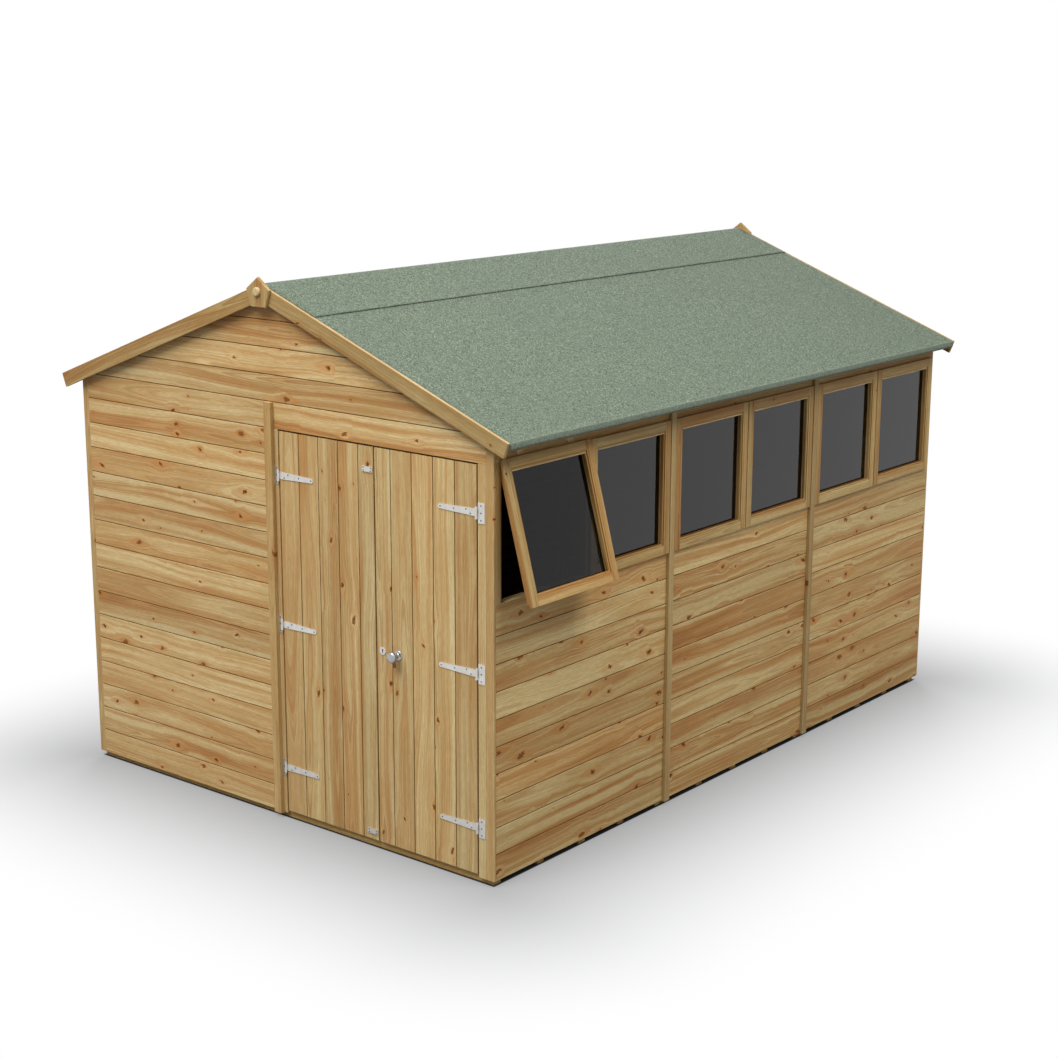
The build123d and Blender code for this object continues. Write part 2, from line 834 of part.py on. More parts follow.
def add_strap(pin_x, hand, height):
    """A tapered strap with a round tip, and its knuckle around the pin."""
    root = strap_root_width / 2
    tip = strap_tip_width / 2
    tip_centre = strap_length - tip
    neck = strap_knuckle_height / 2
    with BuildSketch(Plane.XZ.offset(face_y)) as profile:
        with BuildLine():
            Polyline(
                (pin_x, height - neck),
                (pin_x, height + neck),
                (pin_x + hand * strap_start, height + neck),
                (pin_x + hand * strap_start, height + root),
                (pin_x + hand * tip_centre, height + tip),
            )
            ThreePointArc(
                (pin_x + hand * tip_centre, height + tip),
                (pin_x + hand * strap_length, height),
                (pin_x + hand * tip_centre, height - tip),
            )
            Polyline(
                (pin_x + hand * tip_centre, height - tip),
                (pin_x + hand * strap_start, height - root),
                (pin_x + hand * strap_start, height - neck),
                (pin_x, height - neck),
            )
        make_face()
    extrude(profile.sketch, amount=strap_thickness)
    with BuildSketch(Plane.XY.offset(height - neck)) as profile:
        with Locations((pin_x, pin_y)):
            Circle(knuckle_radius)
    extrude(profile.sketch, amount=strap_knuckle_height)
    with BuildSketch(Plane.XY.offset(height - neck)) as profile:
        with Locations((pin_x, pin_y)):
            Circle(pin_radius + pin_clearance)
    extrude(profile.sketch, amount=strap_knuckle_height, mode=Mode.SUBTRACT)


def add_hinge_plate(pin_x, hand, height, plate_width):
    """A cross plate on the post, with two knuckles and the pin."""
    neck = strap_knuckle_height / 2 + knuckle_gap
    plate_x = pin_x - hand * (strap_start + plate_width / 2)
    with BuildSketch(Plane.XZ.offset(face_y)) as profile:
        with Locations((plate_x, height)):
            Rectangle(plate_width, hinge_plate_height)
        for side in (-1, 1):
            tab_z = height + side * (neck + plate_knuckle_height / 2)
            with Locations((pin_x - hand * strap_start / 2, tab_z)):
                Rectangle(strap_start, plate_knuckle_height)
    extrude(profile.sketch, amount=hinge_plate_thickness)
    for start in (height - neck - plate_knuckle_height, height + neck):
        with BuildSketch(Plane.XY.offset(start)) as profile:
            with Locations((pin_x, pin_y)):
                Circle(knuckle_radius)
        extrude(profile.sketch, amount=plate_knuckle_height)
    with BuildSketch(Plane.XY.offset(height - neck - plate_knuckle_height)) as profile:
        with Locations((pin_x, pin_y)):
            Circle(pin_radius)
    extrude(profile.sketch, amount=2 * (neck + plate_knuckle_height))


with BuildPart() as hinge_straps_left:
    for hinge_height in hinge_heights:
        add_strap(left_pin_x, 1, hinge_height)
save(hinge_straps_left, "hinge_straps_left")

with BuildPart() as hinge_straps_right:
    for hinge_height in hinge_heights:
        add_strap(right_pin_x, -1, hinge_height)
save(hinge_straps_right, "hinge_straps_right")

with BuildPart() as hinge_plates:
    for hinge_height in hinge_heights:
        add_hinge_plate(left_pin_x, 1, hinge_height, left_plate_width)
        add_hinge_plate(right_pin_x, -1, hinge_height, right_plate_width)
save(hinge_plates, "hinge_plates")


# Door furniture, placed from the edge of the right leaf that meets the left one
meeting_x = right_leaf_x - leaf_width
knob_x = meeting_x + knob_inset
keyhole_x = meeting_x + keyhole_inset

with BuildPart() as door_knob:
    with BuildSketch(Plane.XZ.offset(face_y)):
        with Locations((knob_x, knob_height)):
            Circle(rose_radius)
    extrude(amount=rose_thickness)
    with BuildSketch(Plane.XZ.offset(face_y + rose_thickness)):
        with Locations((knob_x, knob_height)):
            Circle(knob_neck_radius)
    extrude(amount=knob_reach - rose_thickness - knob_head_depth)
    with BuildSketch(Plane.XZ.offset(face_y + knob_reach - knob_head_depth)):
        with Locations((knob_x, knob_height)):
            Circle(knob_radius)
    extrude(amount=knob_head_depth)
    knob_rims = door_knob.edges().filter_by(GeomType.CIRCLE).sort_by(Axis.Y)
    fillet(knob_rims[0], radius=knob_head_depth * 0.35)
    fillet(door_knob.edges().filter_by(GeomType.CIRCLE).filter_by(
        lambda rim: abs(rim.radius - knob_radius) < pin_clearance
    ).sort_by(Axis.Y)[-1], radius=knob_head_depth * 0.35)
save(door_knob, "door_knob")

with BuildPart() as keyhole_escutcheon:
    with BuildSketch(Plane.XZ.offset(face_y)):
        with Locations((keyhole_x, keyhole_height)):
            Circle(escutcheon_radius)
    extrude(amount=escutcheon_thickness)
save(keyhole_escutcheon, "keyhole_escutcheon")

with BuildPart() as door_left_bolt_plates:
    plate_centre_x = left_leaf_x + leaf_width - bolt_plate_inset - bolt_plate_length / 2
    with BuildSketch(Plane.XZ.offset(face_y)):
        with Locations(*[(plate_centre_x, z) for z in bolt_plate_heights]):
            Rectangle(bolt_plate_length, bolt_plate_width)
    extrude(amount=bolt_plate_thickness)
save(door_left_bolt_plates, "door_left_bolt_plates")
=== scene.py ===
import math
import random

import bmesh
import bpy
import numpy as np
from mathutils import Matrix, Vector, noise
from mathutils.geometry import intersect_point_line


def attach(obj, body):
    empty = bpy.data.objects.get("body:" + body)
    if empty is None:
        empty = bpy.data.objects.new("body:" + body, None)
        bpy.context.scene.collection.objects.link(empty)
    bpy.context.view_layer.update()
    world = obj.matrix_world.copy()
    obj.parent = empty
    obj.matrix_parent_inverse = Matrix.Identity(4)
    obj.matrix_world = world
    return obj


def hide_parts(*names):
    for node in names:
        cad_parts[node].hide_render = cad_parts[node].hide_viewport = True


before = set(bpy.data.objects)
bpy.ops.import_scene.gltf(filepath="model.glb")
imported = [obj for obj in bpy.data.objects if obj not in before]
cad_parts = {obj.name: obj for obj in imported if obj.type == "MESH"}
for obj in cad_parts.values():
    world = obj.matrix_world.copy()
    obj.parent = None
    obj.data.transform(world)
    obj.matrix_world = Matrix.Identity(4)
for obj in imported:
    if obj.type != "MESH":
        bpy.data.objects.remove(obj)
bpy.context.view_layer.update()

X = Vector((1, 0, 0))
Y = Vector((0, 1, 0))
Z = Vector((0, 0, 1))

# Sizes of the shed in metres, as in the solids
CLADDING = 0.012
COVER = 0.1133
BASE = 0.024
FACE_X = 1.220
FACE_Y = 1.757
SKIN_X = FACE_X - CLADDING
SKIN_Y = FACE_Y - CLADDING
CORNER = 0.038
PANEL = 2 * SKIN_Y / 3
PANEL_CENTRES = (-PANEL, 0, PANEL)
PANEL_GAP = 0.002
SILL = BASE + 10 * COVER
DOOR_HEAD = BASE + 15 * COVER
GABLE = BASE + 16 * COVER
SLOPE = math.radians(20.8)
RIDGE = 2.3270
FELT = 0.003
ROOF_BOARD = 0.012
EAVES_X = 1.318
VERGE_Y = 1.777
BARGE_Y = 1.792
SEAT = 0.0003
FLOOR_INSET = 0.018
FLOOR_X = FACE_X - FLOOR_INSET
BEARER_WIDE = 0.044
BEARER_TALL = 0.036
SASH_GAP = 0.006
SASH_MARGIN = 0.0207
SASH_BORDER = 0.048
SASH_SWING = math.radians(15.3)
SASH_LIFT = 0.003
SASH_LIP = 0.012
HEAD_TALL = 0.1072
HINGE_HEIGHTS = (0.238, 0.882, 1.530)

# How the dressed pieces differ from the plain solids
# the painted shade on a sash's reveal lies between these two depths in front of its glass
REVEAL_SHADE_FRONT = 0.0066
REVEAL_SHADE_BACK = -0.0214
CREASE = 0.0034
GROOVE_INSET = 0.029
GROOVE_HALF = 0.0011
GROOVE_DEEP = 0.0014
STILE_FACE = 0.0137
JOINT_GAP = 0.0022
JOINT_CHAMFER = 0.0018
JOINT_DEPTH = 0.0050
JOINT_FADE = 0.0025
ARRIS = 0.0012
# the least angle between two faces, in radians, that counts as an edge or a corner
SHARP = 0.3
# how near counts as on a line or a face, and how narrow a last board is left out
NEAR = 0.0002
SLIVER = 0.001
# each board's grain starts somewhere in this length of log
LOG = 37.0


def roof_top(x):
    return RIDGE - math.tan(SLOPE) * abs(x)


def roof_under(x):
    return roof_top(x) - (FELT + ROOF_BOARD) / math.cos(SLOPE)


def directions(swing):
    """Up and out, on a face that is swung out by an angle about the wall's length."""
    return (
        Vector((-math.sin(swing), 0, math.cos(swing))), Vector((math.cos(swing), 0, math.sin(swing)))
    )


WALL_TOP = roof_under(FACE_X) - SEAT
SASH_WIDTH = (PANEL - SASH_GAP) / 2 - SASH_MARGIN
SASH_TOP = WALL_TOP - HEAD_TALL
SASH_TALL = SASH_TOP - (SILL + SASH_LIFT)
SASH_CENTRES = [y + hand * (SASH_WIDTH + SASH_GAP) / 2 for y in PANEL_CENTRES for hand in (-1, 1)]


def swing_at(centre):
    """The sash nearest the doors is swung out, and the others are closed."""
    return SASH_SWING if centre == SASH_CENTRES[0] else 0.0


# Materials


class Value:
    """What comes out of a node. Arithmetic on it adds Math nodes to the same tree."""

    def __init__(self, graph, socket):
        self.graph = graph
        self.socket = socket

    def math(self, operation, *others):
        return self.graph.node("Math", {"operation": operation}, dict(enumerate((self, *others))))

    def __add__(self, other):
        return self.math("ADD", other)

    def __radd__(self, other):
        return self.math("ADD", other)

    def __sub__(self, other):
        return self.math("SUBTRACT", other)

    def __rsub__(self, other):
        return self.graph.node("Math", {"operation": "SUBTRACT"}, {0: other, 1: self})

    def __mul__(self, other):
        return self.math("MULTIPLY", other)

    def __rmul__(self, other):
        return self.math("MULTIPLY", other)

    def __truediv__(self, other):
        return self.math("DIVIDE", other)

    def __pow__(self, other):
        return self.math("POWER", other)

    def step(self, low, high, start=0.0, end=1.0):
        """A smooth step from start at low to end at high."""
        settings = {"interpolation_type": "SMOOTHSTEP"}
        sockets = {"Value": self, "From Min": low, "From Max": high, "To Min": start, "To Max": end}
        return self.graph.node("MapRange", settings, sockets)


class Graph:
    """A tree of nodes, with one method that adds any node to it."""

    def __init__(self, tree):
        self.tree = tree

    def node(self, kind, settings, sockets, out=0):
        node = self.tree.nodes.new("ShaderNode" + kind)
        for name, value in settings.items():
            if name == "stops":
                self.set_stops(node.color_ramp, value)
            else:
                setattr(node, name, value)
        for name, value in sockets.items():
            if isinstance(value, Value):
                self.tree.links.new(value.socket, node.inputs[name])
            else:
                node.inputs[name].default_value = value
        return Value(self, node.outputs[out])

    def set_stops(self, ramp, stops):
        while len(ramp.elements) < len(stops):
            ramp.elements.new(0.5)
        for element, (position, colour) in zip(ramp.elements, stops):
            element.position = position
            element.color = (*colour, 1.0)

    def seen(self):
        """1 for what is seen straight, mirrored or through glass, and 0 for light that falls."""
        straight, mirrored, through = (
            self.node("LightPath", {}, {}, out=f"Is {kind} Ray")
            for kind in ("Camera", "Glossy", "Transmission")
        )
        return straight.math("MAXIMUM", mirrored).math("MAXIMUM", through)

    def output(self, shader, node):
        self.tree.links.new(shader.socket, self.tree.nodes[node].inputs["Surface"])


class Finish(Graph):
    """A material in the making: its tree of nodes, and the surface that they lead to."""

    def __init__(self, name, **constants):
        self.material = bpy.data.materials.new(name)
        self.material.use_nodes = True
        super().__init__(self.material.node_tree)
        self.surface = self.tree.nodes["Principled BSDF"]
        for socket, value in constants.items():
            self.surface.inputs[socket.replace("_", " ")].default_value = value

    def split(self, vector):
        return [self.node("SeparateXYZ", {}, {0: vector}, out=i) for i in range(3)]

    def attribute(self, name):
        return self.split(self.node("Attribute", {"attribute_name": name}, {}, out="Vector"))

    def place(self):
        vector = self.node("NewGeometry", {}, {}, out="Position")
        return vector, self.split(vector)

    def point(self, x, y, z):
        return self.node("CombineXYZ", {}, {0: x, 1: y, 2: z})

    def noise(self, point, scale, detail=2.0, roughness=0.5):
        sockets = {"Vector": point, "Scale": scale, "Detail": detail, "Roughness": roughness}
        return self.node("TexNoise", {}, sockets)

    def ramp(self, value, stops):
        return self.node("ValToRGB", {"stops": stops}, {"Fac": value})

    def mix(self, amount, first, second, blend="MIX"):
        settings = {"data_type": "RGBA", "blend_type": blend}
        first, second = (c if isinstance(c, Value) else (*c, 1.0) for c in (first, second))
        return self.node("Mix", settings, {0: amount, 6: first, 7: second}, out=2)

    def bump(self, height, distance):
        self.link("Normal", self.node("Bump", {}, {"Height": height, "Distance": distance}))

    def link(self, socket, value):
        self.tree.links.new(value.socket, self.surface.inputs[socket])


def rgb(red, green, blue):
    """A screen colour of 0 to 255 a channel, as the numbers that a shader takes."""
    parts = (c / 255 for c in (red, green, blue))
    return tuple(c / 12.92 if c <= 0.04045 else ((c + 0.055) / 1.055) ** 2.4 for c in parts)


WHITE = (1.0, 1.0, 1.0, 1.0)

PINE_BANDS = (
    (0.06, rgb(219, 197, 147)),
    (0.28, rgb(207, 177, 124)),
    (0.48, rgb(196, 157, 104)),
    (0.66, rgb(189, 141, 88)),
    (0.84, rgb(178, 127, 73)),
    (0.98, rgb(162, 109, 58)),
)

PALE_BANDS = (
    (0.10, rgb(240, 224, 180)),
    (0.50, rgb(232, 210, 160)),
    (0.90, rgb(214, 184, 128)),
)


def pine(name, bands=PINE_BANDS, tint=(1.0, 1.0, 1.0), contrast=1.0, knots=1.0, roughness=0.55):
    """Softwood cut from a log: growth rings round a pith that lies behind each board, a darker
    heart with paler sapwood round it, and knots that the grain flows round."""
    wood = Finish(name)
    along, across, depth = wood.attribute("grain")
    luck, pith, tone = wood.attribute("luck")
    # knots: one point in each cell of a scatter, most of them too small to show
    shift_a, shift_b = luck * 7.0, pith * 9.0
    cells = {"Vector": wood.point(along + shift_a, across + shift_b, 0.0), "Scale": 7.4}
    flat = {"voronoi_dimensions": "2D"}
    spot_a, spot_b, _ = wood.split(wood.node("TexVoronoi", flat, cells, out="Position"))
    size, dark, lean = wood.split(wood.node("TexVoronoi", flat, cells, out="Color"))
    to_a = along + shift_a - spot_a
    to_b = across + shift_b - spot_b
    slant = to_a + to_b * (lean - 0.5) * 2.0
    wobble = wood.noise(wood.point(along * 95.0, across * 120.0, luck * 9.0), 1.0, 2.0) - 0.5
    knot_size = ((size - (1.0 - 0.44 * knots)) * 0.026).math("MAXIMUM", 0.0)
    knot_near = ((slant * (0.55 + dark * 0.35)) ** 2.0 + to_b * to_b) ** 0.5
    knot_near = knot_near + wobble * knot_size * 2.2
    shows = knot_size.step(0.0004, 0.0016)
    knot = (knot_size - knot_near).step(-0.0012, 0.0014) * shows
    core = (knot_size * 0.55 - knot_near).step(-0.0012, 0.0012) * shows
    blush_near = ((to_a * 0.22) ** 2.0 + to_b * to_b) ** 0.5 + wobble * 0.012
    blush = (knot_size * 1.7 - blush_near).step(-0.005, 0.009) * shows
    # the grain parts round a knot as water does round a post
    knot_far = (to_a * 0.6) ** 2.0 + to_b * to_b
    push = (knot_size * knot_size * 3.4 / (knot_far + 0.000001)).math("MINIMUM", 1.0)
    # the pith runs nearly parallel to the board and wanders
    sway = wood.noise(wood.point(along * 0.8, luck * 40.0, 0.0), 1.0, 1.5) - 0.5
    rise = wood.noise(wood.point(along * 0.7, luck * 90.0, 5.0), 1.0, 1.5) - 0.5
    side = across - to_b * push + (pith - 0.5) * 0.15 + sway * 0.10
    back = depth + 0.016 + tone * tone * 0.085 + rise * 0.055
    radius = (side * side + back * back) ** 0.5
    ripple = wood.noise(wood.point(along * 3.2, across * 20.0, luck * 30.0), 1.0, 2.0) - 0.5
    radius = radius + ripple * 0.0026
    rings = radius * (210.0 + luck * 90.0)
    late = rings.math("FRACT")
    late = late.step(0.25, 0.90) * (1.0 - late.step(0.93, 1.0))
    # heart, bands of many rings, and fine streaks
    heart = (0.034 + luck * 0.040 + ripple * 0.016 - radius).step(-0.004, 0.004)
    band = wood.noise(wood.point(radius * 46.0 + luck * 50.0, along * 0.5, pith * 20.0), 1.0, 3.0, 0.6)
    streak = wood.noise(wood.point(along * 2.2, radius * 260.0, luck * 70.0), 1.0, 3.0, 0.62)
    hair = wood.point(along * 26.0, across * 700.0, depth * 700.0 + luck * 60.0)
    fibre = wood.noise(hair, 1.0, 2.0, 0.6)
    cloud = wood.noise(wood.point(along * 2.4 + luck * 30.0, across * 7.0, pith * 12.0), 1.0, 3.0, 0.6)
    mellow = 0.32 + heart * 0.19 + (band - 0.5) * (1.75 * contrast) + (streak - 0.5) * 0.85
    mellow = mellow + (tone - 0.5) * 0.16 + (cloud - 0.5) * 0.45
    colour = wood.ramp(mellow, bands)
    colour = wood.mix(late * (0.26 + heart * 0.22), colour, rgb(142, 92, 46))
    colour = wood.mix((fibre - 0.5).step(-0.2, 0.2, 0.0, 0.40), colour, rgb(134, 100, 58))
    colour = wood.mix((cloud - 0.5).step(0.0, 0.25, 0.0, 0.26), colour, rgb(172, 154, 100))
    colour = wood.mix(blush * 0.34, colour, rgb(186, 112, 48))
    knot_tone = wood.mix(dark, rgb(106, 62, 20), rgb(166, 98, 38))
    colour = wood.mix(knot * 0.90, colour, knot_tone)
    colour = wood.mix(core * dark.step(0.1, 0.5) * 0.85, colour, rgb(66, 42, 14))
    board_tone = 0.9 + pith * 0.2
    grey = wood.node("CombineColor", {}, {0: board_tone, 1: board_tone, 2: board_tone})
    colour = wood.mix(1.0, colour, grey, "MULTIPLY")
    # painted shade: a vertex attribute darkens the wood in board joints, inner corners, stile grooves
    # and the reveals round the glass
    painted_shade_mask = wood.node("Attribute", {"attribute_name": "joint"}, {}, out="Fac")
    colour = wood.mix(painted_shade_mask * 0.94, colour, rgb(102, 61, 12))
    colour = wood.mix(1.0, colour, tint, "MULTIPLY")
    wood.link("Base Color", colour)
    wood.link("Roughness", late * -0.08 + fibre * 0.16 + (roughness - 0.06))
    wood.bump(late * 0.25 + fibre * 0.45 - knot * 0.5, 0.0004)
    wood.surface.inputs["Specular IOR Level"].default_value = 0.14
    return wood.material


def mineral_felt():
    felt = Finish("green_mineral_felt")
    place, (x, _, _) = felt.place()
    chip = felt.node("TexVoronoi", {}, {"Vector": place, "Scale": 240.0}, out="Color")
    shade, _, _ = felt.split(chip)
    patch = felt.noise(place, 120.0, 3.0, 0.75)
    cloud = felt.noise(place, 1.7, 3.0, 0.55)
    speckle = shade * 0.62 + patch * 0.95 - 0.28
    colour = felt.ramp(speckle, (
        (0.08, rgb(41, 50, 39)),
        (0.30, rgb(77, 88, 73)),
        (0.52, rgb(98, 109, 93)),
        (0.74, rgb(113, 124, 108)),
        (0.94, rgb(145, 151, 135)),
    ))
    colour = felt.mix((cloud - 0.5).step(-0.22, 0.22, 0.0, 0.10), colour, rgb(69, 81, 71))
    # painted light: the felt is lighter where it turns down over the eaves, so that the turned-down
    # face shows less of its shade
    fold_painted_light = (x.math("ABSOLUTE") - EAVES_X).step(-0.004, -0.002)
    colour = felt.mix(fold_painted_light * 0.16, colour, rgb(205, 218, 196))
    felt.link("Base Color", colour)
    felt.link("Roughness", shade * 0.12 + 0.84)
    felt.bump(shade * 0.6 + patch * 0.4, 0.0012)
    felt.surface.inputs["Specular IOR Level"].default_value = 0.2
    return felt.material


def clear_glass(name, ior, clear):
    """Glass that mirrors the pale studio, with a dark tint that is painted shade for the dim inside
    seen through it.
    """
    glass = Finish(name, Roughness=0.0, IOR=ior)
    glass.surface.inputs["Transmission Weight"].default_value = 1.0
    place, _ = glass.place()
    smear = glass.noise(place, 2.6, 3.0, 0.6)
    glass.link("Base Color", glass.mix(smear, (clear,) * 3, (clear * 0.8,) * 3))
    return glass.material


def zinc(name, shade, dull, metallic=0.85):
    metal = Finish(name, Metallic=metallic)
    place, _ = metal.place()
    cloud = metal.noise(place, 46.0, 3.0, 0.6)
    spangle = metal.noise(place, 420.0, 2.0, 0.5)
    colour = metal.mix(cloud.step(0.3, 0.7, 0.0, 0.5), rgb(*shade), rgb(*(c - 26 for c in shade)))
    metal.link("Base Color", colour)
    metal.link("Roughness", cloud * 0.16 + spangle * 0.08 + dull)
    metal.bump(spangle, 0.0001)
    return metal.material


cladding_pine = pine("cladding_pine", tint=(1.12, 1.12, 1.11), contrast=1.1)
# painted light: the side walls' pine is tinted darker and yellower than the front's, for the colour of
# the light on that side
side_pine = pine("side_wall_pine", tint=(1.08, 1.06, 0.97), contrast=1.55, knots=1.15)
door_pine = pine("door_pine", tint=(1.11, 1.16, 1.18), contrast=0.9, knots=0.9)
trim_pine = pine("trim_pine", tint=(1.04, 1.03, 0.96), contrast=0.5, knots=0.7)
corner_pine = pine("corner_pine", tint=(1.10, 1.20, 1.27), contrast=0.5, knots=0.5)
side_strip_pine = pine("side_strip_pine", tint=(0.84, 0.88, 0.87), contrast=0.5, knots=0.7)
sash_pine = pine("sash_pine", tint=(0.92, 0.91, 0.81), contrast=0.8, knots=0.6)
barge_pine = pine("bargeboard_pine", tint=(0.84, 0.85, 0.78), contrast=0.6, knots=0.5)
pale_pine = pine("pale_pine", PALE_BANDS, contrast=0.4, knots=0.0)
frame_pine = pine("framing_pine", tint=(0.92, 0.86, 0.76), roughness=0.72)
bearer_pine = pine("bearer_pine", tint=(1.10, 1.10, 0.95), contrast=0.7, roughness=0.75)
felt_finish = mineral_felt()
closed_glass = clear_glass("window_glass", 1.41, 0.04)
open_glass = clear_glass("open_window_glass", 1.30, 0.07)
zinc_finish = zinc("bright_zinc", (214, 211, 206), 0.28)
# painted highlight: the stay is nearly white and hardly metallic, standing in for its glint behind the
# glass
stay_glint_finish = zinc("stay_painted_glint", (250, 250, 250), 0.2, metallic=0.1)
chrome_finish = zinc("polished_zinc", (172, 172, 172), 0.06)
# the screw heads are grey steel, darkened further as painted shade of the holes they sit in
screw_steel_and_shade = zinc("screw_steel_shaded", (104, 104, 110), 0.35)
brass_finish = zinc("dull_brass", (172, 151, 112), 0.5, metallic=0.4)
# black, as painted shade inside the keyhole
keyhole_shade_finish = Finish("keyhole_black", Base_Color=(0.01, 0.01, 0.01, 1.0), Roughness=0.8).material
bitumen_finish = Finish("bitumen_edge", Base_Color=(0.012, 0.018, 0.013, 1.0), Roughness=0.7).material


# Meshes


def make_piece(mesh, name, body, slot, replaces, *materials, smooth=False):
    """Turns a mesh into a named piece that rides on a body of the frame."""
    data = bpy.data.meshes.new(name)
    mesh.to_mesh(data)
    mesh.free()
    for material in materials:
        data.materials.append(material)
    if smooth:
        for polygon in data.polygons:
            polygon.use_smooth = True
    piece = bpy.data.objects.new(name, data)
    bpy.context.scene.collection.objects.link(piece)
    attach(piece, body)
    if replaces:
        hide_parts(*replaces)
    return piece


def slice_mesh(mesh, place, normal, clear_outer=False):
    """Cuts the faces along a plane and returns the edges of the cut."""
    parts = mesh.verts[:] + mesh.edges[:] + mesh.faces[:]
    done = bmesh.ops.bisect_plane(
        mesh, geom=parts, plane_co=place, plane_no=normal, clear_outer=clear_outer
    )
    return [e for e in done["geom_cut"] if isinstance(e, bmesh.types.BMEdge)]


class Timber:
    """A mesh of separate boards and bars, each with its own grain."""

    def __init__(self, seed, mesh=None):
        self.mesh = bmesh.new() if mesh is None else mesh
        self.grain = self.mesh.verts.layers.float_vector.new("grain")
        self.luck = self.mesh.verts.layers.float_vector.new("luck")
        # each point's level of painted shade, which darkens joints and hollows
        self.joint = self.mesh.verts.layers.float.new("joint")
        self.draw = random.Random(seed)

    def board(self, rings, axes, shade_levels=None):
        """Skins a board over rings of (along, across, out) points, numbered alike.
        axes are the board's origin and its along, across and outward directions."""
        origin, along, across, out = axes
        luck = Vector((self.draw.random(), self.draw.random(), self.draw.random()))
        start = self.draw.random() * LOG
        middle = (min(b for _, b, _ in rings[0]) + max(b for _, b, _ in rings[0])) / 2
        made = []
        for ring in rings:
            row = []
            for i, (a, b, c) in enumerate(ring):
                vert = self.mesh.verts.new(origin + along * a + across * b + out * c)
                vert[self.grain] = Vector((a + start, b - middle, c))
                vert[self.luck] = luck
                # each point's painted shade, none where no levels are given
                vert[self.joint] = shade_levels[i] if shade_levels else 0.0
                row.append(vert)
            made.append(row)
        count = len(made[0])
        for first, second in zip(made, made[1:]):
            for i in range(count):
                j = (i + 1) % count
                self.mesh.faces.new((first[i], first[j], second[j], second[i]))
        self.mesh.faces.new(made[0][::-1])
        self.mesh.faces.new(made[-1])

    def bar(self, low, high, along=Z, arris=ARRIS, out=X):
        """A planed bar between two corners, with its arrises taken off."""
        low, high = Vector(low), Vector(high)
        across = out.cross(along)
        centre, size = (low + high) / 2, high - low
        half = [abs(size.dot(axis)) / 2 for axis in (along, across, out)]
        cut = min(arris, *(h * 0.4 for h in half))

        def ring(at, shrink):
            b, c = half[1] - shrink, half[2] - shrink
            points = []
            for sb, sc in ((1, 1), (-1, 1), (-1, -1), (1, -1)):
                first, second = (b - cut, c), (b, c - cut)
                if sb * sc > 0:
                    first, second = second, first
                points += [(at, sb * first[0], sc * first[1]), (at, sb * second[0], sc * second[1])]
            return points

        end = half[0]
        rings = [ring(-end, cut), ring(-end + cut, 0.0), ring(end - cut, 0.0), ring(end, cut)]
        self.board(rings, (centre, along, across, out))

    def matched(self, low, high, length, axes, first=False, last=False):
        """A tongue-and-groove board from low to high across, with its joint to the next.
        The painted shade goes with the profile's points: 1 deep in a joint, 0 on the face and behind."""
        gap = JOINT_GAP / 2
        bottom = low if first else low + gap
        top = high if last else high - gap
        thick = CLADDING
        cut = JOINT_CHAMFER
        ledge = thick - JOINT_DEPTH
        fade = JOINT_FADE
        profile = [
            (bottom, 0.0), (bottom, ledge), (bottom, thick - cut), (bottom + cut, thick),
            (top - cut, thick), (top, thick - cut), (top, ledge), (high + gap * 0.9, ledge),
            (high + gap * 0.9, 0.0), (high - fade, 0.0), (bottom + fade, 0.0),
        ]
        shade_levels = [1.0, 1.0, 0.8, 0.0, 0.0, 0.8, 1.0, 1.0, 1.0, 0.0, 0.0]
        if last:
            profile = profile[:6] + [(top, 0.0), (top - fade, 0.0), (bottom + fade, 0.0)]
            shade_levels = [1.0, 1.0, 0.8, 0.0, 0.0, 0.5, 0.5, 0.0, 0.0]
        if first:
            shade_levels[:3] = [0.5, 0.5, 0.3]
        rings = [[(at, b, c) for b, c in profile[::-1]] for at in (-length / 2, length / 2)]
        self.board(rings, axes, shade_levels[::-1])

    def cut(self, point, normal):
        """Takes off what lies beyond a plane and closes the cut."""
        edges = slice_mesh(self.mesh, point, normal, clear_outer=True)
        bmesh.ops.holes_fill(self.mesh, edges=edges)

    def finish(self, name, body, material, slot, replaces=()):
        bmesh.ops.recalc_face_normals(self.mesh, faces=self.mesh.faces)
        return make_piece(self.mesh, name, body, slot, replaces, material)


def solids_of(node):
    """A CAD node's solids in one mesh, with flat faces whole and corners shared."""
    mesh = bmesh.new()
    mesh.from_mesh(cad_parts[node].data)
    bmesh.ops.remove_doubles(mesh, verts=mesh.verts, dist=1e-5)
    bmesh.ops.dissolve_limit(mesh, angle_limit=math.radians(0.6), verts=mesh.verts, edges=mesh.edges)
    return mesh


def islands(mesh):
    """Lists of the vertices that faces join together."""
    left = set(mesh.verts)
    while left:
        group, edge = [], [left.pop()]
        while edge:
            vert = edge.pop()
            group.append(vert)
            for link in vert.link_edges:
                other = link.other_vert(vert)
                if other in left:
                    left.remove(other)
                    edge.append(other)
        yield group


def sash_point(point):
    """Where a point lies on the sash it belongs to: along the wall, up from the sash's top edge
    and out of its plane."""
    centre = min(SASH_CENTRES, key=lambda y: abs(y - point.y))
    up, out = directions(swing_at(centre))
    away = point - Vector((FACE_X, centre, SASH_TOP))
    return away.y, away.dot(up), away.dot(out)


def in_reveal_shade(point):
    """Whether a point lies in the painted shade on the reveal in front of the glass."""
    along, up, out = sash_point(point)
    beside = abs(along) <= SASH_WIDTH / 2 - SASH_BORDER + NEAR
    between_rails = -SASH_TALL + SASH_BORDER - NEAR <= up <= -SASH_BORDER + NEAR
    return beside and between_rails and REVEAL_SHADE_BACK - NEAR <= out <= REVEAL_SHADE_FRONT + NEAR


